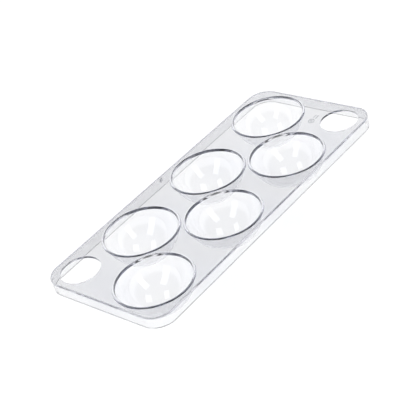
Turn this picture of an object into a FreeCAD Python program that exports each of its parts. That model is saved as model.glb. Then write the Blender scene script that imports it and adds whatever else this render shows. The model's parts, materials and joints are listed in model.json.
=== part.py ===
"""Clear six-egg tray: one injection-moulded tray, written as its named regions.

Millimetres, +Z up. The origin is on the surface that the tray stands on, under the tray's centre.
X runs along the tray's length and Y across its width, from the front row of cups to the back row.

The deck is a thin plate. Each cup hangs in a round opening of the deck from a raised lip, and a
skirt runs round the deck's edge. Neighbouring regions meet face to face and never overlap.
"""

import FreeCAD, Part
import math
import os

from FreeCAD import Vector

# ---------------------------------------------------------------- driving dimensions

# Egg cup: part of a ball, cut off flat at its foot.
CUP_BALL_RADIUS = 23.0       # outside of the ball that the cup's outer wall follows
CUP_WALL = 0.8
CUP_DEPTH = 19.2             # from the deck's top face down to the foot
FOOT_RADIUS = 3.6            # flat that the tray stands on, under each cup

# Lip: the raised, rounded ring round each cup's mouth.
LIP_OVERHANG = 0.5           # how far the lip reaches outside the cup's ball
LIP_HEIGHT = 0.6             # above the deck's top face

# Layout: two rows of three cups, the back row shifted by half a pitch.
CUPS_PER_ROW = 3
LIP_GAP = 1.0                # between a front lip and the nearest back lip
ROW_GAP = 14.3               # between two lips of one row
END_MARGIN = 2.4             # from the outermost lip to the tray's end
SIDE_MARGIN = 2.5            # from a row's lips to the tray's long side

# Deck and skirt.
DECK_THICKNESS = 1.2
DECK_EDGE_ROUND = 0.6        # along the deck's upper outer edge
CORNER_RADIUS = 12.0         # of the tray's outline
SKIRT_DROP = 7.3             # from the deck's top face to the skirt's lower edge
SKIRT_WALL = 1.3
SKIRT_EDGE_ROUND = 0.15      # on both sides of the skirt's lower edge

# Finger holes, one at each end, in opposite corners.
FINGER_HOLE_RADIUS = 11.8
FINGER_HOLE_MARGIN = 3.9     # from the hole to the tray's end and to its long side

# Gate vestige: what is left of the sprue, on the back of the skirt.
GATE_WIDTH = 2.2
GATE_PROUD = 0.5
GATE_DROP = 3.4
GATE_EDGE_ROUND = 0.25

# Moulding mark: a plain raised ring round a pip, and two bars beside it.
MARK_HEIGHT = 0.3
MARK_RING_RADIUS = 2.1
MARK_LINE = 0.7
MARK_PIP_RADIUS = 0.7
MARK_BAR_LENGTH = 3.6
MARK_GAP = 1.0               # between the ring and the bars, and between the two bars
MARK_PLACE = 0.4             # how far from the right finger hole towards the nearest back lip

# ---------------------------------------------------------------- worked-out sizes

CUP_BALL_CENTRE_Z = math.sqrt(CUP_BALL_RADIUS ** 2 - FOOT_RADIUS ** 2)
CUP_INNER_RADIUS = CUP_BALL_RADIUS - CUP_WALL
LIP_RADIUS = CUP_BALL_RADIUS + LIP_OVERHANG

DECK_TOP = CUP_DEPTH
DECK_BOTTOM = DECK_TOP - DECK_THICKNESS
SKIRT_BOTTOM = DECK_TOP - SKIRT_DROP

HALF_PITCH = LIP_RADIUS + ROW_GAP / 2
ROW_SPACING = math.sqrt((2 * LIP_RADIUS + LIP_GAP) ** 2 - HALF_PITCH ** 2)
HALF_LENGTH = (2 * CUPS_PER_ROW - 1) * HALF_PITCH / 2 + LIP_RADIUS + END_MARGIN
HALF_WIDTH = ROW_SPACING / 2 + LIP_RADIUS + SIDE_MARGIN

FINGER_HOLE_X = HALF_LENGTH - FINGER_HOLE_MARGIN - FINGER_HOLE_RADIUS
FINGER_HOLE_Y = HALF_WIDTH - FINGER_HOLE_MARGIN - FINGER_HOLE_RADIUS

COLUMN_NAMES = ("left", "middle", "right")
Z_AXIS = Vector(0, 0, 1)


# ---------------------------------------------------------------- helpers


def point(x, y, z):
    """A point, for outlines."""
    return Vector(x, y, z)


def line(a, b):
    """A straight edge."""
    return Part.LineSegment(a, b).toShape()


def arc(a, middle, b):
    """An arc's edge through three points."""
    return Part.Arc(a, middle, b).toShape()


def turned(edges, angle=360.0):
    """The solid that a closed outline in the XZ plane sweeps round the Z axis."""
    face = Part.Face(Part.Wire(edges))
    return face.revolve(Vector(0, 0, 0), Z_AXIS, angle)


def ball_point(radius, z):
    """The point at height z on the ball of this radius, concentric with the cup's ball."""
    return point(math.sqrt(radius ** 2 - (z - CUP_BALL_CENTRE_Z) ** 2), 0, z)


def ball_arc(radius, z_from, z_to):
    """The meridian of that ball between two heights, through the height half way."""
    return arc(
        ball_point(radius, z_from),
        ball_point(radius, (z_from + z_to) / 2),
        ball_point(radius, z_to),
    )


def rounded_outline(z):
    """The tray's outline, a rectangle with round corners, as a face at height z."""
    plate = Part.makeBox(
        2 * HALF_LENGTH, 2 * HALF_WIDTH, 1, point(-HALF_LENGTH, -HALF_WIDTH, z)
    )
    corners = [edge for edge in plate.Edges if is_upright(edge)]
    rounded = plate.makeFillet(CORNER_RADIUS, corners)
    return min(rounded.Faces, key=lambda face: face.CenterOfMass.z)


def is_upright(edge):
    """True if an edge runs parallel to Z."""
    run = edge.Vertexes[-1].Point.sub(edge.Vertexes[0].Point)
    return abs(run.x) < 1e-6 and abs(run.y) < 1e-6


def cup_places():
    """The name, x and y of each cup: the front row is shifted left, the back row right."""
    places = []
    for column, name in enumerate(COLUMN_NAMES):
        x_front = (2 * column - CUPS_PER_ROW + 0.5) * HALF_PITCH
        places.append(("front_" + name, x_front, -ROW_SPACING / 2))
        places.append(("back_" + name, x_front + HALF_PITCH, ROW_SPACING / 2))
    return places


def finger_hole_places():
    """The x and y of the two finger holes: at the back on the left, at the front on the right."""
    return [(-FINGER_HOLE_X, FINGER_HOLE_Y), (FINGER_HOLE_X, -FINGER_HOLE_Y)]


# ---------------------------------------------------------------- regions of the tray


def deck():
    """The plate, with six openings for the lips and two finger holes."""
    plate = rounded_outline(DECK_BOTTOM).extrude(Vector(0, 0, DECK_THICKNESS))
    rim = [edge for edge in plate.Edges if edge.BoundBox.ZMin > DECK_TOP - 1e-6]
    plate = plate.makeFillet(DECK_EDGE_ROUND, rim)
    openings = [(x, y, LIP_RADIUS) for _, x, y in cup_places()]
    openings += [(x, y, FINGER_HOLE_RADIUS) for x, y in finger_hole_places()]
    for x, y, radius in openings:
        plate = plate.cut(Part.makeCylinder(radius, DECK_THICKNESS, point(x, y, DECK_BOTTOM)))
    return plate


def cup_wall():
    """One bowl, on the Z axis: a ball's shell, flat at the foot, up to the deck's lower face."""
    inner_floor = CUP_BALL_CENTRE_Z - CUP_INNER_RADIUS
    outer_top = ball_point(CUP_BALL_RADIUS, DECK_BOTTOM)
    inner_top = ball_point(CUP_INNER_RADIUS, DECK_BOTTOM)
    return turned(
        [
            line(point(0, 0, 0), point(FOOT_RADIUS, 0, 0)),
            ball_arc(CUP_BALL_RADIUS, 0, DECK_BOTTOM),
            line(outer_top, inner_top),
            ball_arc(CUP_INNER_RADIUS, DECK_BOTTOM, inner_floor),
            line(point(0, 0, inner_floor), point(0, 0, 0)),
        ]
    )


def cup_lip():
    """One lip, on the Z axis: it carries the bowl's inner face up to a rounded crest."""
    outer_low = point(LIP_RADIUS, 0, DECK_BOTTOM)
    outer_high = point(LIP_RADIUS, 0, DECK_TOP)
    inner_high = ball_point(CUP_INNER_RADIUS, DECK_TOP)
    inner_low = ball_point(CUP_INNER_RADIUS, DECK_BOTTOM)
    crest = point((LIP_RADIUS + inner_high.x) / 2, 0, DECK_TOP + LIP_HEIGHT)
    return turned(
        [
            line(outer_low, outer_high),
            arc(outer_high, crest, inner_high),
            ball_arc(CUP_INNER_RADIUS, DECK_TOP, DECK_BOTTOM),
            line(inner_low, outer_low),
        ]
    )


def skirt_outline():
    """The skirt's section in the XZ plane, its outer face at x = 0 and its inside at x < 0."""
    round_in = -SKIRT_WALL + SKIRT_EDGE_ROUND
    low = SKIRT_BOTTOM + SKIRT_EDGE_ROUND
    slant = SKIRT_EDGE_ROUND * (1 - math.sqrt(0.5))
    return [
        line(point(0, 0, DECK_BOTTOM), point(-SKIRT_WALL, 0, DECK_BOTTOM)),
        line(point(-SKIRT_WALL, 0, DECK_BOTTOM), point(-SKIRT_WALL, 0, low)),
        arc(
            point(-SKIRT_WALL, 0, low),
            point(-SKIRT_WALL + slant, 0, SKIRT_BOTTOM + slant),
            point(round_in, 0, SKIRT_BOTTOM),
        ),
        line(point(round_in, 0, SKIRT_BOTTOM), point(-SKIRT_EDGE_ROUND, 0, SKIRT_BOTTOM)),
        arc(
            point(-SKIRT_EDGE_ROUND, 0, SKIRT_BOTTOM),
            point(-slant, 0, SKIRT_BOTTOM + slant),
            point(0, 0, low),
        ),
        line(point(0, 0, low), point(0, 0, DECK_BOTTOM)),
    ]


def skirt_straight(length):
    """A straight stretch of skirt, running along Y about the X axis, facing +X."""
    face = Part.Face(Part.Wire(skirt_outline()))
    face.translate(Vector(0, -length / 2, 0))
    return face.extrude(Vector(0, length, 0))


def skirt_corner():
    """The skirt's quarter turn from facing +X to facing +Y, about the Z axis."""
    outline = Part.Wire(skirt_outline())
    outline.translate(Vector(CORNER_RADIUS, 0, 0))
    return turned(outline.Edges, 90.0)


def skirt_pieces():
    """The four straight walls of the skirt and its four corners, by name."""
    long_run = 2 * (HALF_LENGTH - CORNER_RADIUS)
    short_run = 2 * (HALF_WIDTH - CORNER_RADIUS)
    straights = {
        "skirt_right": (short_run, HALF_LENGTH, 0, 0),
        "skirt_back": (long_run, 0, HALF_WIDTH, 90),
        "skirt_left": (short_run, -HALF_LENGTH, 0, 180),
        "skirt_front": (long_run, 0, -HALF_WIDTH, 270),
    }
    x = HALF_LENGTH - CORNER_RADIUS
    y = HALF_WIDTH - CORNER_RADIUS
    corners = {
        "skirt_corner_back_right": (x, y, 0),
        "skirt_corner_back_left": (-x, y, 90),
        "skirt_corner_front_left": (-x, -y, 180),
        "skirt_corner_front_right": (x, -y, 270),
    }
    pieces = {}
    for name, (length, x_at, y_at, angle) in straights.items():
        pieces[name] = placed(skirt_straight(length), x_at, y_at, angle)
    for name, (x_at, y_at, angle) in corners.items():
        pieces[name] = placed(skirt_corner(), x_at, y_at, angle)
    return pieces


def placed(shape, x, y, angle=0):
    """A shape turned about the Z axis and then moved."""
    shape.rotate(Vector(0, 0, 0), Z_AXIS, angle)
    shape.translate(Vector(x, y, 0))
    return shape


def gate_vestige():
    """The trimmed stub of the gate, half way along the back of the skirt."""
    stub = Part.makeBox(
        GATE_WIDTH, GATE_PROUD, GATE_DROP,
        point(-GATE_WIDTH / 2, HALF_WIDTH, DECK_TOP - DECK_EDGE_ROUND - GATE_DROP),
    )
    outer = [
        edge for edge in stub.Edges
        if edge.BoundBox.YMin > HALF_WIDTH + GATE_PROUD - 1e-6
    ]
    return stub.makeFillet(GATE_EDGE_ROUND, outer)


def mark_centre():
    """The middle of the mark, on the line from the right finger hole to the nearest back lip."""
    hole = point(*finger_hole_places()[-1], DECK_TOP)
    _, lip_x, lip_y = cup_places()[-1]
    towards_lip = point(lip_x, lip_y, DECK_TOP).sub(hole)
    free_run = towards_lip.Length - FINGER_HOLE_RADIUS - LIP_RADIUS
    return hole.add(towards_lip.normalize().multiply(FINGER_HOLE_RADIUS + MARK_PLACE * free_run))


def mould_mark():
    """A raised ring round a pip, and two bars, between the right finger hole and a back lip."""
    centre = mark_centre()
    half_width = MARK_RING_RADIUS + (MARK_GAP + MARK_BAR_LENGTH) / 2
    ring_centre = centre.sub(point(half_width - MARK_RING_RADIUS, 0, 0))
    ring = Part.makeCylinder(MARK_RING_RADIUS, MARK_HEIGHT, ring_centre).cut(
        Part.makeCylinder(MARK_RING_RADIUS - MARK_LINE, MARK_HEIGHT, ring_centre)
    )
    marks = [ring, Part.makeCylinder(MARK_PIP_RADIUS, MARK_HEIGHT, ring_centre)]
    for y_low in (MARK_GAP / 2, -MARK_GAP / 2 - MARK_LINE):
        corner = centre.add(point(half_width - MARK_BAR_LENGTH, y_low, 0))
        marks.append(Part.makeBox(MARK_BAR_LENGTH, MARK_LINE, MARK_HEIGHT, corner))
    return Part.makeCompound(marks)


# ---------------------------------------------------------------- the tray


def tray():
    """Every region of the tray, by node name."""
    regions = {"deck": deck()}
    regions.update(skirt_pieces())
    for name, x, y in cup_places():
        regions["egg_cup_" + name] = placed(cup_wall(), x, y)
        regions["cup_lip_" + name] = placed(cup_lip(), x, y)
    regions["gate_vestige"] = gate_vestige()
    regions["mould_mark"] = mould_mark()
    return regions


def main():
    """Write one STEP file for each region."""
    os.makedirs("parts", exist_ok=True)
    for name, shape in tray().items():
        shape.exportStep("parts/" + name + ".step")
        print(f"{name:28s} {len(shape.Solids):2d} solid(s) {shape.Volume:10.1f} mm3")
    print(f"length {2 * HALF_LENGTH:.2f}  width {2 * HALF_WIDTH:.2f}  deck top {DECK_TOP:.2f}")


main()
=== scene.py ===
"""Looks of the clear six-egg tray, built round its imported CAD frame.

Metres, in the frame's own axes: X along the tray, Y from the front row of cups to the back row, +Z up.
The tray is one injection moulding. Each region of it is a closed mesh of its own, and where two
regions meet inside the moulding their faces carry a material that shows nothing, so that light
crosses from one to the next as it does in one piece of plastic.
"""

import json
import logging
import math
from dataclasses import dataclass, field
from enum import Enum
from typing import Callable

import bmesh
import bpy
from mathutils import Matrix, Quaternion, Vector


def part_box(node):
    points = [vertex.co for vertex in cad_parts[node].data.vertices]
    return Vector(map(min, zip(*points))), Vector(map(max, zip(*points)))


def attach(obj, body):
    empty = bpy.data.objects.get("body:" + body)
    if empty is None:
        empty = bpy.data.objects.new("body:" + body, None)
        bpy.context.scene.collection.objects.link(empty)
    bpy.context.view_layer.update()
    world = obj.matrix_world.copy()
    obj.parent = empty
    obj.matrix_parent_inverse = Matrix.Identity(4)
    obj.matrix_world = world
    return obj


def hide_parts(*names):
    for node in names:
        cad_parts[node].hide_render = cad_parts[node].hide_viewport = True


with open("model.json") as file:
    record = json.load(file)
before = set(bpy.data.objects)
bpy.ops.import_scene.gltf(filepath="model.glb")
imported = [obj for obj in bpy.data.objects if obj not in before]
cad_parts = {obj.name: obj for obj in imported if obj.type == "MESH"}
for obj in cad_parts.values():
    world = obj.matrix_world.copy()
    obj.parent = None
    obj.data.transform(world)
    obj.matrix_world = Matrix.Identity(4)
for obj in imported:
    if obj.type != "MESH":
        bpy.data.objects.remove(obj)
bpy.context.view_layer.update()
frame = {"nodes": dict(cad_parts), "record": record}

LOG = logging.getLogger("egg_tray")
MM = 0.001
ROUND_STEPS = 216      # faces round a cup's mouth
CORNER_STEPS = 24      # faces round one corner of the tray's outline
WELD = 2e-6            # points nearer than this are one point
STEEP = 0.5            # a face is upright where its normal rises less than this
WHITE = "FFFFFF"


# ---------------------------------------------------------------- small helpers


def linear(hex_colour: str) -> tuple[float, float, float, float]:
    """Turns an sRGB colour into the linear one that shaders take.

    Args:
        hex_colour: six hex digits, such as "F2F4F6".

    Returns:
        Linear red, green and blue, and an alpha of 1.
    """
    parts = [int(hex_colour[i:i + 2], 16) / 255 for i in (0, 2, 4)]
    red, green, blue = (
        part / 12.92 if part <= 0.04045 else ((part + 0.055) / 1.055) ** 2.4 for part in parts
    )
    return red, green, blue, 1.0


def add_node(tree: bpy.types.NodeTree, kind: str, settings: dict, inputs: dict) -> bpy.types.Node:
    """Adds one shader node.

    Args:
        tree: the node tree that it goes into.
        kind: the node's type.
        settings: properties to set on the node.
        inputs: for each input, a value to set or an output to link.

    Returns:
        The new node.
    """
    node = tree.nodes.new(kind)
    for name, value in settings.items():
        setattr(node, name, value)
    for socket, value in inputs.items():
        if isinstance(value, bpy.types.NodeSocket):
            tree.links.new(value, node.inputs[socket])
        else:
            node.inputs[socket].default_value = value
    return node


def new_material(name: str) -> tuple[bpy.types.Material, bpy.types.NodeTree]:
    """Makes a material whose node tree is empty.

    Args:
        name: its name.

    Returns:
        The material and its tree.
    """
    made = bpy.data.materials.new(name)
    made.use_nodes = True
    made.node_tree.nodes.clear()
    return made, made.node_tree


def only(kind: type, items: list) -> list:
    """The vertices, edges or faces among what a bmesh operator gave back."""
    return [item for item in items if isinstance(item, kind)]


def edges_of(corners: list[bmesh.types.BMVert]) -> list[bmesh.types.BMEdge]:
    """The edges at some vertices, each of them once, in an order that is the same each run."""
    return list(dict.fromkeys(edge for corner in corners for edge in corner.link_edges))


class Face(Enum):
    """What a face of the moulding is, as the number of its material slot."""

    MOULDED = 0   # the moulding's own surface
    MEETING = 1   # where two regions of the moulding meet, inside the plastic
    RIM = 2       # the plate's rounded rim, where the two halves of the tool meet, which a darker tint paints as a shaded line


# ---------------------------------------------------------------- finishes


@dataclass(frozen=True)
class ClearPolystyrene:
    """General-purpose polystyrene, injection moulded in a polished tool.

    It is water-clear, with a strong gloss and a faint cool cast where light runs a long way in it;
    each region's copy of it is tinted darker or paler at each face, which paints shade and light.
    The melt leaves slow waves in its surface, too shallow to see but for how they bend a highlight.
    """

    name: str
    cast_and_shade_tint: str                 # a faint cool cast plus the region's painted shade: what white light has become after this many faces
    lamp_tint: str                 # of lamplight, at each face on its way to what is under the tray; set region by region, it paints how deep the shadow under each region is
    deep_passes: int = 40          # meetings with its surface that this takes
    ior: float = 1.59
    flow_mm: float = 16.0          # between the slow waves that the melt leaves
    flow_depth_mm: float = 0.004
    haze: tuple[float, float] = (0.0, 0.03)   # roughness of polished and of handled places
    handling_mm: float = 22.0      # across a handled place
    handled: tuple[float, float] = (0.45, 0.75)   # the noise where handling starts and is full

    def material(self) -> bpy.types.Material:
        """Builds the material.

        Returns:
            The material.
        """
        made, tree = new_material(self.name)
        place = add_node(tree, "ShaderNodeTexCoord", {}, {}).outputs["Object"]
        flow = add_node(tree, "ShaderNodeTexNoise", {}, {
            "Vector": place, "Scale": 1 / (self.flow_mm * MM), "Detail": 1.0, "Roughness": 0.4,
        })
        bump = add_node(tree, "ShaderNodeBump", {}, {
            "Height": flow.outputs["Fac"], "Distance": self.flow_depth_mm * MM, "Strength": 1.0,
        })
        wear = add_node(tree, "ShaderNodeTexNoise", {}, {
            "Vector": place, "Scale": 1 / (self.handling_mm * MM), "Detail": 4.0,
        })
        haze = add_node(tree, "ShaderNodeMapRange", {}, {
            "Value": wear.outputs["Fac"],
            "From Min": self.handled[0], "From Max": self.handled[1],
            "To Min": self.haze[0], "To Max": self.haze[1],
        })
        # Spread over its passes as a tint at every face, so each region's darkness, painted shade as
        # well as cast, builds up face by face.
        tint = [part ** (1 / self.deep_passes) for part in linear(self.cast_and_shade_tint)]
        plastic = add_node(tree, "ShaderNodeBsdfGlass", {}, {
            "Color": tint, "IOR": self.ior,
            "Roughness": haze.outputs["Result"], "Normal": bump.outputs["Normal"],
        })
        # Lets lamplight through at every face; its value per region paints how deep the shadow under
        # that region is.
        through = add_node(tree, "ShaderNodeBsdfTransparent", {}, {"Color": linear(self.lamp_tint)})
        path = add_node(tree, "ShaderNodeLightPath", {}, {})
        mixed = add_node(tree, "ShaderNodeMixShader", {}, {
            0: path.outputs["Is Shadow Ray"], 1: plastic.outputs[0], 2: through.outputs[0],
        })
        add_node(tree, "ShaderNodeOutputMaterial", {}, {"Surface": mixed.outputs[0]})
        return made


@dataclass(frozen=True)
class InsideThePlastic:
    """No surface at all: the plastic carries on from one region into the next."""

    name: str = "inside_the_plastic"

    def material(self) -> bpy.types.Material:
        """Builds the material.

        Returns:
            The material.
        """
        made, tree = new_material(self.name)
        clear = add_node(tree, "ShaderNodeBsdfTransparent", {}, {"Color": linear(WHITE)})
        add_node(tree, "ShaderNodeOutputMaterial", {}, {"Surface": clear.outputs[0]})
        return made


@dataclass(frozen=True)
class StudioPaper:
    """Matt white background paper, which the tray stands on."""

    name: str = "background_paper"
    colour: str = "F4F4F4"

    def material(self) -> bpy.types.Material:
        """Builds the material.

        Returns:
            The material.
        """
        made, tree = new_material(self.name)
        paper = add_node(tree, "ShaderNodeBsdfDiffuse", {}, {"Color": linear(self.colour)})
        add_node(tree, "ShaderNodeOutputMaterial", {}, {"Surface": paper.outputs[0]})
        return made


# One plastic, in lit and shaded copies: each region gets its own tint at each face, partly a faint
# cool cast and partly painted shade, so the thin wall stays the palest, and the plate and its rim look
# the darkest from the side. The lamp tints, region by region, paint how deep the shadow under each
# region is.
PLATE = ClearPolystyrene("clear_polystyrene_plate", "4B4E5F", "F3F4F7")
SKIRT_WALL = ClearPolystyrene("clear_polystyrene_skirt", "5E616D", "FCFDFD")
THIN_WALL = ClearPolystyrene("clear_polystyrene_thin_wall", "9EA1B0", "FEFEFE")
BEAD = ClearPolystyrene("clear_polystyrene_bead", "7C81A0", "FCFDFD")
# The rim's much darker tint at each face paints a shaded line along the plate's edge.
RIM = ClearPolystyrene("clear_polystyrene_rim_shade", "4B4E5F", "F9FAFA", deep_passes=12)
# Spark erosion leaves the tool matt, so what it moulds is frosted; its much darker tint at each face
# paints the stub and the mark in shade.
RELIEF = ClearPolystyrene("clear_polystyrene_spark_eroded", "303236", "F9FAFA", deep_passes=10,
                          haze=(0.25, 0.45))


# ---------------------------------------------------------------- the tray's places


@dataclass(frozen=True)
class Cup:
    """Where one cup is, and what it is called."""

    name: str
    x: float
    y: float


@dataclass
class TrayPlaces:
    """The tray's sizes and places, in metres, read from the frame."""

    half_length: float = 0.0
    half_width: float = 0.0
    deck_top: float = 0.0
    deck_bottom: float = 0.0
    corner: float = 0.0
    skirt_wall: float = 0.0
    skirt_bottom: float = 0.0
    lip_radius: float = 0.0
    lip_crest: float = 0.0
    bowl_top_radius: float = 0.0
    cups: list[Cup] = field(default_factory=list)
    holes: list[tuple[float, float, float]] = field(default_factory=list)

    def __post_init__(self) -> None:
        """Reads every size from the frame's boxes and its mounts."""
        low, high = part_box("deck")
        self.half_length, self.half_width = high.x, high.y
        self.deck_bottom, self.deck_top = low.z, high.z
        low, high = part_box("skirt_front")
        self.skirt_wall, self.skirt_bottom = high.y - low.y, low.z
        low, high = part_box("skirt_corner_front_left")
        self.corner = high.x - low.x
        for node in sorted(frame["nodes"]):
            if node.startswith("cup_lip_"):
                low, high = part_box(node)
                middle = (low + high) / 2
                self.cups.append(Cup(node[len("cup_lip_"):], middle.x, middle.y))
                self.lip_radius, self.lip_crest = (high.x - low.x) / 2, high.z
        low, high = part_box("egg_cup_" + self.cups[0].name)
        self.bowl_top_radius = (high.x - low.x) / 2
        for mount in frame["record"]["mounts"]:
            if mount["kind"] == "bore":
                x, y, _ = mount["pos_m"]
                self.holes.append((x, y, mount["dims"]["r_mm"] * MM))


# ---------------------------------------------------------------- making a piece


@dataclass
class Region:
    """One region of the moulding, as a closed mesh that stands for some of the frame's nodes."""

    places: TrayPlaces
    crease: float = math.radians(32)    # an edge that turns more than this is sharp
    face_weight: int = 100              # how far the wide faces rule the shading of an edge

    def piece(self, name: str, mesh: bmesh.types.BMesh, nodes: list[str],
              finishes: list[bpy.types.Material]) -> bpy.types.Object:
        """Turns a finished bmesh into a piece of the tray.

        Args:
            name: the piece's name.
            mesh: the closed mesh, which is freed.
            nodes: the frame's nodes that it stands for.
            finishes: its materials, in the order of Face.

        Returns:
            The new object, riding on the tray's body.
        """
        for edge in mesh.edges:
            faces = edge.link_faces
            if len(faces) != 2:
                raise ValueError(f"{name} is open at {edge.verts[0].co[:]}")
            kinds = {face.material_index for face in faces}
            joined = len(kinds) == 1 or Face.MEETING.value not in kinds
            edge.smooth = joined and edge.calc_face_angle() < self.crease
        for face in mesh.faces:
            face.smooth = True
        data = bpy.data.meshes.new(name)
        mesh.to_mesh(data)
        mesh.free()
        made = bpy.data.objects.new(name, data)
        bpy.context.scene.collection.objects.link(made)
        for finish in finishes:
            data.materials.append(finish)
        fair = made.modifiers.new("fair_normals", "WEIGHTED_NORMAL")
        fair.keep_sharp = True
        fair.weight = self.face_weight
        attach(made, "root")
        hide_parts(*nodes)
        LOG.info("%s: %d faces, stands for %s", name, len(data.polygons), ", ".join(nodes))
        return made

    def outline(self, mesh: bmesh.types.BMesh, z: float) -> bmesh.types.BMFace:
        """Draws the tray's outline as one flat face.

        Args:
            mesh: the bmesh that it goes into.
            z: its height.

        Returns:
            The face, facing up.
        """
        size = Matrix.Diagonal((self.places.half_length, self.places.half_width, 1, 1))
        grid = bmesh.ops.create_grid(
            mesh, x_segments=1, y_segments=1, size=1, matrix=Matrix.Translation((0, 0, z)) @ size
        )
        bmesh.ops.bevel(
            mesh, geom=grid["verts"], offset=self.places.corner, segments=CORNER_STEPS,
            profile=0.5, affect="VERTICES", material=-1,
        )
        mesh.faces.ensure_lookup_table()
        return mesh.faces[0]


def mark_meetings(mesh: bmesh.types.BMesh, meets: Callable[[bmesh.types.BMFace], bool]) -> None:
    """Tells the moulding's own surface from the faces where two regions of it meet.

    Args:
        mesh: a finished region.
        meets: says whether a face is one where another region meets this one.
    """
    for face in mesh.faces:
        face.material_index = (Face.MEETING if meets(face) else Face.MOULDED).value


def pull_down(mesh: bmesh.types.BMesh, depth: float) -> None:
    """Gives a flat sheet a thickness downwards, as one closed solid.

    Args:
        mesh: the bmesh that holds the sheet and nothing else.
        depth: the thickness.
    """
    lower = bmesh.ops.extrude_face_region(mesh, geom=list(mesh.faces))["geom"]
    bmesh.ops.translate(mesh, vec=(0, 0, -depth), verts=only(bmesh.types.BMVert, lower))
    bmesh.ops.recalc_face_normals(mesh, faces=mesh.faces)


def straight_to(mesh: bmesh.types.BMesh, start: bmesh.types.BMVert,
                target: Vector) -> bmesh.types.BMVert:
    """Draws a straight edge from a vertex to a target.

    Args:
        mesh: the bmesh that it goes into.
        start: the vertex that it starts from.
        target: where it ends.

    Returns:
        The vertex at its end.
    """
    new = bmesh.ops.extrude_vert_indiv(mesh, verts=[start])["verts"][0]
    new.co = target
    return new


def arc_to(mesh: bmesh.types.BMesh, start: bmesh.types.BMVert, centre: Vector, target: Vector,
           steps: int) -> bmesh.types.BMVert:
    """Draws an arc in the XZ plane, from a vertex round a centre to a target.

    Args:
        mesh: the bmesh that it goes into.
        start: the vertex that it starts from.
        centre: the arc's centre.
        target: where it ends, as far from the centre as the start is.
        steps: the number of its edges.

    Returns:
        The vertex at its end.
    """
    first, last = start.co - centre, target - centre
    angle = math.atan2(first.cross(last).y, first.dot(last))
    spun = bmesh.ops.spin(
        mesh, geom=[start], cent=centre, axis=(0, 1, 0), angle=angle, steps=steps,
    )
    return only(bmesh.types.BMVert, spun["geom_last"])[0]


@dataclass
class Deck(Region):
    """The flat plate, with six openings for the lips and two finger holes."""

    edge_round: float = 0.6 * MM
    edge_steps: int = 8

    def build(self, finishes: list[bpy.types.Material]) -> bpy.types.Object:
        """Builds the plate.

        Args:
            finishes: its materials, in the order of Face.

        Returns:
            The piece.
        """
        places = self.places
        mesh = bmesh.new()
        face = self.outline(mesh, places.deck_top)
        rim = list(face.edges)
        bmesh.ops.inset_region(mesh, faces=[face], thickness=places.skirt_wall,
                               use_boundary=True, use_even_offset=True)
        inner = list(face.edges)
        bmesh.ops.delete(mesh, geom=[face], context="FACES_ONLY")
        for x, y, radius in self.openings():
            circle = bmesh.ops.create_circle(
                mesh, segments=ROUND_STEPS, radius=radius,
                matrix=Matrix.Translation((x, y, places.deck_top)),
            )
            inner += edges_of(circle["verts"])
        bmesh.ops.triangle_fill(mesh, use_beauty=True, edges=inner, normal=(0, 0, 1))
        pull_down(mesh, places.deck_top - places.deck_bottom)
        bmesh.ops.bevel(
            mesh, geom=rim, offset=self.edge_round, segments=self.edge_steps, profile=0.5,
            affect="EDGES", material=-1,
        )
        for face in mesh.faces:
            face.material_index = self.kind_of(face).value
        return self.piece("tray_deck", mesh, ["deck"], finishes)

    def openings(self) -> list[tuple[float, float, float]]:
        """The x, y and radius of every opening in the plate."""
        mouths = [(cup.x, cup.y, self.places.lip_radius) for cup in self.places.cups]
        return mouths + self.places.holes

    def kind_of(self, face: bmesh.types.BMFace) -> Face:
        """Tells the plate's own surface from where a lip or the skirt meets it.

        Args:
            face: a face of the plate.

        Returns:
            Its kind.
        """
        middle = face.calc_center_median()
        from_edge = self.from_edge(middle.x, middle.y)
        if abs(face.normal.z) < STEEP:
            for cup in self.places.cups:
                away = math.hypot(middle.x - cup.x, middle.y - cup.y)
                if away < self.places.lip_radius + WELD:
                    return Face.MEETING
        if face.normal.z > -STEEP:
            # The rounded rim takes the darker rim finish, which paints a shaded line along the edge.
            return Face.RIM if from_edge < self.edge_round - WELD else Face.MOULDED
        over_wall = len(face.verts) == 4 and from_edge < self.places.skirt_wall
        return Face.MEETING if over_wall else Face.MOULDED

    def from_edge(self, x: float, y: float) -> float:
        """Measures how far inside the tray's outline a point lies.

        Args:
            x: the point's x.
            y: the point's y.

        Returns:
            The distance, square to the outline.
        """
        corner = self.places.corner
        reach_x = abs(x) - (self.places.half_length - corner)
        reach_y = abs(y) - (self.places.half_width - corner)
        if reach_x > 0 and reach_y > 0:
            return corner - math.hypot(reach_x, reach_y)
        return corner - max(reach_x, reach_y)


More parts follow.
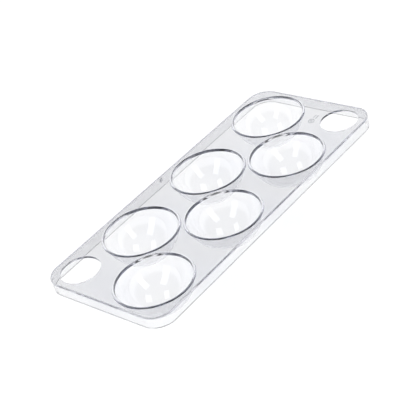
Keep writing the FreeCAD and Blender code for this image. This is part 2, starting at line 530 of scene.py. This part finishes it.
@dataclass
class Skirt(Region):
    """The wall that hangs from the plate's edge and runs all the way round."""

    edge_round: float = 0.15 * MM
    edge_steps: int = 4

    def build(self, finishes: list[bpy.types.Material]) -> bpy.types.Object:
        """Builds the wall as one closed ring, by taking its section round the tray's outline.

        Args:
            finishes: its materials, in the order of Face.

        Returns:
            The piece.
        """
        places = self.places
        mesh = bmesh.new()
        section = self.section(mesh)
        reach_x, reach_y = places.half_length - places.corner, places.half_width - places.corner
        bmesh.ops.translate(mesh, vec=(places.half_length, -reach_y, 0), verts=mesh.verts)
        runs = [((0, 1), reach_y), ((-1, 0), reach_x), ((0, -1), reach_y), ((1, 0), reach_x)]
        centres = [(1, 1), (-1, 1), (-1, -1), (1, -1)]
        for (way, reach), (side_x, side_y) in zip(runs, centres):
            straight = bmesh.ops.extrude_edge_only(mesh, edges=section)["geom"]
            ends = only(bmesh.types.BMVert, straight)
            bmesh.ops.translate(
                mesh, vec=(2 * reach * way[0], 2 * reach * way[1], 0), verts=ends,
            )
            section = only(bmesh.types.BMEdge, straight)
            turn = bmesh.ops.spin(
                mesh, geom=ends + section, cent=(side_x * reach_x, side_y * reach_y, 0),
                axis=(0, 0, 1), angle=math.tau / 4, steps=CORNER_STEPS,
            )
            section = only(bmesh.types.BMEdge, turn["geom_last"])
        bmesh.ops.remove_doubles(mesh, verts=mesh.verts, dist=WELD)
        bmesh.ops.recalc_face_normals(mesh, faces=mesh.faces)
        top = places.deck_bottom - WELD
        mark_meetings(mesh, lambda face: face.calc_center_median().z > top)
        nodes = sorted(node for node in frame["nodes"] if node.startswith("skirt_"))
        return self.piece("tray_skirt", mesh, nodes, finishes)

    def section(self, mesh: bmesh.types.BMesh) -> list[bmesh.types.BMEdge]:
        """Draws the wall's section in the XZ plane, with its outer face at x = 0.

        Args:
            mesh: the empty bmesh that it goes into.

        Returns:
            Its edges.
        """
        high, low = self.places.deck_bottom, self.places.skirt_bottom
        inside, small = -self.places.skirt_wall, self.edge_round
        start = mesh.verts.new((0, 0, high))
        at = straight_to(mesh, start, Vector((inside, 0, high)))
        at = straight_to(mesh, at, Vector((inside, 0, low + small)))
        at = arc_to(mesh, at, Vector((inside + small, 0, low + small)),
                    Vector((inside + small, 0, low)), self.edge_steps)
        at = straight_to(mesh, at, Vector((-small, 0, low)))
        at = arc_to(mesh, at, Vector((-small, 0, low + small)),
                    Vector((0, 0, low + small)), self.edge_steps)
        mesh.edges.new((at, start))
        return list(mesh.edges)


@dataclass
class EggCup(Region):
    """One cup: a bowl that is part of a ball, and the raised lip that carries it in the plate."""

    wall: float = 0.8 * MM
    foot_radius: float = 3.6 * MM
    outside_steps: int = 28        # from the foot up to the mouth
    inside_steps: int = 32         # from the mouth down to the axis
    lip_steps: int = 20            # over the lip's crest
    throat_steps: int = 3          # inside the lip, as deep as the plate is thick
    plumb: float = 0.01            # a face is plumb where its normal rises less than this
    chord_sag: float = 0.01 * MM   # how far a flat face may cut inside the round that it stands for
    centre_z: float = field(init=False)
    outer: float = field(init=False)
    inner: float = field(init=False)

    def __post_init__(self) -> None:
        """Works out the ball that the bowl is a part of."""
        top, height = self.places.bowl_top_radius, self.places.deck_bottom
        self.centre_z = (top ** 2 + height ** 2 - self.foot_radius ** 2) / (2 * height)
        self.outer = math.hypot(self.centre_z, self.foot_radius)
        self.inner = self.outer - self.wall

    def width_at(self, radius: float, z: float) -> float:
        """How wide the ball of this radius is at height z, from its axis."""
        return math.sqrt(radius ** 2 - (z - self.centre_z) ** 2)

    def turned(self, mesh: bmesh.types.BMesh, cup: Cup) -> None:
        """Spins a section that is drawn in the XZ plane round the Z axis, and moves it to its cup.

        Args:
            mesh: the bmesh that holds the section and nothing else.
            cup: the cup that it belongs to.
        """
        bmesh.ops.remove_doubles(mesh, verts=mesh.verts, dist=WELD)
        section = list(mesh.verts) + list(mesh.edges)
        bmesh.ops.spin(
            mesh, geom=section, cent=(0, 0, 0), axis=(0, 0, 1), angle=math.tau,
            steps=ROUND_STEPS, use_merge=True,
        )
        bmesh.ops.remove_doubles(mesh, verts=mesh.verts, dist=WELD)
        bmesh.ops.recalc_face_normals(mesh, faces=mesh.faces)
        bmesh.ops.translate(mesh, vec=(cup.x, cup.y, 0), verts=mesh.verts)

    def build_bowl(self, cup: Cup, finishes: list[bpy.types.Material]) -> bpy.types.Object:
        """Builds one bowl.

        Args:
            cup: the cup that it belongs to.
            finishes: its materials, in the order of Face.

        Returns:
            The piece.
        """
        top = self.places.deck_bottom
        centre = Vector((0, 0, self.centre_z))
        mesh = bmesh.new()
        at = mesh.verts.new((0, 0, 0))
        at = straight_to(mesh, at, Vector((self.foot_radius, 0, 0)))
        at = arc_to(mesh, at, centre, Vector((self.width_at(self.outer, top), 0, top)),
                    self.outside_steps)
        at = straight_to(mesh, at, Vector((self.width_at(self.inner, top), 0, top)))
        arc_to(mesh, at, centre, Vector((0, 0, self.centre_z - self.inner)), self.inside_steps)
        self.turned(mesh, cup)
        mark_meetings(mesh, lambda face: face.calc_center_median().z > top - WELD)
        return self.piece("egg_bowl_" + cup.name, mesh, ["egg_cup_" + cup.name], finishes)

    def build_lip(self, cup: Cup, finishes: list[bpy.types.Material]) -> bpy.types.Object:
        """Builds one lip.

        Args:
            cup: the cup that it belongs to.
            finishes: its materials, in the order of Face.

        Returns:
            The piece.
        """
        places = self.places
        low, high, radius = places.deck_bottom, places.deck_top, places.lip_radius
        inner_high = Vector((self.width_at(self.inner, high), 0, high))
        outer_high = Vector((radius, 0, high))
        half_chord = (radius - inner_high.x) / 2
        rise = places.lip_crest - high
        bead = (half_chord ** 2 + rise ** 2) / (2 * rise)
        bead_centre = Vector((radius - half_chord, 0, places.lip_crest - bead))
        mesh = bmesh.new()
        at = mesh.verts.new((self.width_at(self.outer, low), 0, low))
        start = at
        at = straight_to(mesh, at, Vector((radius, 0, low)))
        at = straight_to(mesh, at, outer_high)
        at = arc_to(mesh, at, bead_centre, inner_high, self.lip_steps)
        inner_low = Vector((self.width_at(self.inner, low), 0, low))
        at = arc_to(mesh, at, Vector((0, 0, self.centre_z)), inner_low, self.throat_steps)
        mesh.edges.new((at, start))
        self.turned(mesh, cup)

        def meets(face: bmesh.types.BMFace) -> bool:
            """Tells whether the bowl meets the face from below, or the plate from outside."""
            middle = face.calc_center_median()
            away = math.hypot(middle.x - cup.x, middle.y - cup.y)
            on_bowl = middle.z < low + WELD and away < places.bowl_top_radius
            in_deck = abs(face.normal.z) < self.plumb and away > radius - self.chord_sag
            return on_bowl or in_deck

        mark_meetings(mesh, meets)
        return self.piece("egg_lip_" + cup.name, mesh, ["cup_lip_" + cup.name], finishes)


@dataclass
class GateVestige(Region):
    """The stub that is left where the sprue was cut off, half way along the back."""

    edge_round: float = 0.25 * MM
    edge_steps: int = 5

    def build(self, finishes: list[bpy.types.Material]) -> bpy.types.Object:
        """Builds the stub.

        Args:
            finishes: its materials, in the order of Face.

        Returns:
            The piece.
        """
        low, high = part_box("gate_vestige")
        mesh = bmesh.new()
        place = Matrix.Translation((low + high) / 2) @ Matrix.Diagonal((*(high - low), 1))
        bmesh.ops.create_cube(mesh, size=1, matrix=place)
        outer = [
            edge for edge in mesh.edges if all(corner.co.y > high.y - WELD for corner in edge.verts)
        ]
        bmesh.ops.bevel(
            mesh, geom=outer, offset=self.edge_round, segments=self.edge_steps, profile=0.5,
            affect="EDGES", material=-1,
        )
        mark_meetings(mesh, lambda face: face.calc_center_median().y < low.y + WELD)
        return self.piece("gate_stub", mesh, ["gate_vestige"], finishes)


@dataclass
class MouldMark(Region):
    """A plain raised ring round a pip, and two bars, on the deck."""

    line: float = 0.7 * MM
    pip_radius: float = 0.7 * MM
    bar_length: float = 3.6 * MM
    bar_gap: float = 1.0 * MM
    edge_round: float = 0.28 * MM
    edge_steps: int = 3
    ring_steps: int = 48
    pip_steps: int = 32

    def build(self, finishes: list[bpy.types.Material]) -> bpy.types.Object:
        """Builds the mark.

        Args:
            finishes: its materials, in the order of Face.

        Returns:
            The piece.
        """
        low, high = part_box("mould_mark")
        radius = (high.y - low.y) / 2
        ring_place = Matrix.Translation((low.x + radius, low.y + radius, high.z))
        mesh = bmesh.new()
        inner = bmesh.ops.create_circle(
            mesh, segments=self.ring_steps, radius=radius - self.line, matrix=ring_place)["verts"]
        outer = bmesh.ops.create_circle(
            mesh, segments=self.ring_steps, radius=radius, matrix=ring_place)["verts"]
        bmesh.ops.bridge_loops(mesh, edges=edges_of(inner + outer))
        bmesh.ops.create_circle(
            mesh, segments=self.pip_steps, radius=self.pip_radius, cap_ends=True,
            matrix=ring_place)
        for side in (-1, 1):
            y = (low.y + high.y) / 2 + side * (self.bar_gap + self.line) / 2
            size = Matrix.Diagonal((self.bar_length / 2, self.line / 2, 1, 1))
            place = Matrix.Translation((high.x - self.bar_length / 2, y, high.z))
            bmesh.ops.create_grid(mesh, x_segments=1, y_segments=1, size=1, matrix=place @ size)
        for face in mesh.faces:
            if face.normal.z < 0:
                face.normal_flip()
        pull_down(mesh, high.z - low.z)
        rims = [
            edge for edge in mesh.edges
            if all(corner.co.z > high.z - WELD for corner in edge.verts)
            and edge.calc_face_angle() > self.crease
        ]
        bmesh.ops.bevel(
            mesh, geom=rims, offset=self.edge_round, segments=self.edge_steps, profile=0.5,
            affect="EDGES", material=-1,
        )
        mark_meetings(mesh, lambda face: face.calc_center_median().z < low.z + WELD)
        return self.piece("mould_mark_relief", mesh, ["mould_mark"], finishes)


# ---------------------------------------------------------------- the studio


@dataclass(frozen=True)
class StripLight:
    """One soft strip lamp, turned towards the tray."""

    name: str
    centre: tuple[float, float, float]
    along: tuple[float, float, float]     # the way that its longer side runs
    size: tuple[float, float]             # its longer and its shorter side
    radiance: float = 1.25

    def build(self) -> None:
        """Hangs the lamp in its place. The plastic mirrors it, but it doesn't light the paper."""
        data = bpy.data.lights.new(self.name, "AREA")
        data.shape = "RECTANGLE"
        data.size, data.size_y = self.size
        data.energy = self.radiance * math.pi * self.size[0] * self.size[1]
        lamp = bpy.data.objects.new(self.name, data)
        back = Vector(self.centre).normalized()
        across = Vector(self.along)
        across = (across - back * across.dot(back)).normalized()
        turn = Matrix((across, back.cross(across), back)).transposed().to_4x4()
        lamp.matrix_world = Matrix.Translation(self.centre) @ turn
        lamp.visible_diffuse = False
        bpy.context.scene.collection.objects.link(lamp)


@dataclass
class Studio:
    """White paper, four strip lamps, an even overhead fill, and the camera."""

    paper_half: float = 30.0
    paper_drop: float = 0.05 * MM          # keeps the paper clear of the flats of the feet
    fill_radiance: float = 0.82            # what the fill alone gives white paper
    fill_spread: float = math.radians(100)
    room_low: float = 1.0
    room_high: float = 0.15
    dimming: tuple[float, float] = (0.42, 0.60)    # sines of the heights that it dims between
    light_bounces: int = 64                # inside the plastic, where light runs far
    clear_bounces: int = 128               # through the faces where regions meet
    lens: float = 103.38
    clip: tuple[float, float] = (0.01, 200.0)
    camera_place: tuple[float, float, float] = (-0.38781, -0.43502, 0.40339)
    camera_aim: tuple[float, float, float] = (-0.00666, 0.00131, 0.01052)
    camera_roll: float = math.radians(-16.95)
    strips: tuple[StripLight, ...] = (
        StripLight("strip_front_right", (-0.023, -0.450, 0.350), (0, 0, 1), (0.46, 0.18)),
        StripLight("strip_front_left", (-0.475, -0.037, 0.365), (0, 0, 1), (0.51, 0.19)),
        StripLight("strip_high_right", (0.259, -0.063, 0.604),
                   (0.355, 0.773, -0.526), (0.29, 0.17)),
        StripLight("strip_high_left", (-0.110, 0.320, 0.719),
                   (0.764, 0.546, -0.347), (0.365, 0.175)),
    )

    def build(self) -> None:
        """Builds the whole studio."""
        self.build_paper()
        self.build_room()
        self.build_fill()
        for strip in self.strips:
            strip.build()
        self.build_camera()
        scene = bpy.context.scene
        scene.view_settings.view_transform = "Standard"
        scene.cycles.max_bounces = self.light_bounces
        scene.cycles.transmission_bounces = self.light_bounces
        scene.cycles.glossy_bounces = self.light_bounces
        scene.cycles.transparent_max_bounces = self.clear_bounces

    def build_paper(self) -> None:
        """Lays the paper."""
        mesh = bmesh.new()
        bmesh.ops.create_grid(
            mesh, x_segments=1, y_segments=1, size=self.paper_half,
            matrix=Matrix.Translation((0, 0, -self.paper_drop)),
        )
        data = bpy.data.meshes.new("paper")
        mesh.to_mesh(data)
        mesh.free()
        data.materials.append(StudioPaper().material())
        paper = bpy.data.objects.new("paper", data)
        bpy.context.scene.collection.objects.link(paper)

    def build_room(self) -> None:
        """Makes the room round the set: pale low down, dimmer overhead."""
        world = bpy.data.worlds.new("studio_room")
        world.use_nodes = True
        tree = world.node_tree
        tree.nodes.clear()
        way = add_node(tree, "ShaderNodeTexCoord", {}, {}).outputs["Generated"]
        split = add_node(tree, "ShaderNodeSeparateXYZ", {}, {"Vector": way})
        dim = add_node(tree, "ShaderNodeMapRange", {"interpolation_type": "SMOOTHSTEP"}, {
            "Value": split.outputs["Z"],
            "From Min": self.dimming[0], "From Max": self.dimming[1],
            "To Min": self.room_low, "To Max": self.room_high,
        })
        glow = add_node(tree, "ShaderNodeBackground", {}, {
            "Color": linear(WHITE), "Strength": dim.outputs["Result"],
        })
        add_node(tree, "ShaderNodeOutputWorld", {}, {"Surface": glow.outputs[0]})
        world.cycles.sampling_method = "NONE"
        bpy.context.scene.world = world

    def build_fill(self) -> None:
        """Hangs the even overhead fill, which the plastic doesn't mirror."""
        data = bpy.data.lights.new("overhead_fill", "SUN")
        data.energy = self.fill_radiance * math.pi
        data.angle = self.fill_spread
        data.cycles.use_multiple_importance_sampling = False
        fill = bpy.data.objects.new("overhead_fill", data)
        fill.visible_glossy = False
        fill.visible_transmission = False
        fill.visible_camera = False
        bpy.context.scene.collection.objects.link(fill)

    def build_camera(self) -> None:
        """Places the camera, at the left end of the tray's front, looking down along it."""
        data = bpy.data.cameras.new("camera")
        data.lens = self.lens
        data.clip_start, data.clip_end = self.clip
        camera = bpy.data.objects.new("camera", data)
        camera.rotation_mode = "QUATERNION"
        camera.location = self.camera_place
        aim = Vector(self.camera_aim) - Vector(self.camera_place)
        level = aim.to_track_quat("-Z", "Y")
        camera.rotation_quaternion = level @ Quaternion((0, 0, 1), self.camera_roll)
        bpy.context.scene.collection.objects.link(camera)
        bpy.context.scene.camera = camera


def main() -> None:
    """Builds the studio and then the tray, region by region."""
    logging.basicConfig(level=logging.INFO, format="%(message)s")
    Studio().build()
    places = TrayPlaces()
    inside = InsideThePlastic().material()
    plate = [PLATE.material(), inside, RIM.material()]
    skirt = [SKIRT_WALL.material(), inside]
    wall = [THIN_WALL.material(), inside]
    bead = [BEAD.material(), inside]
    relief = [RELIEF.material(), inside]
    Deck(places).build(plate)
    Skirt(places).build(skirt)
    cup_maker = EggCup(places)
    for cup in places.cups:
        cup_maker.build_bowl(cup, wall)
        cup_maker.build_lip(cup, bead)
    GateVestige(places).build(relief)
    MouldMark(places).build(relief)


if __name__ == "__main__":
    main()
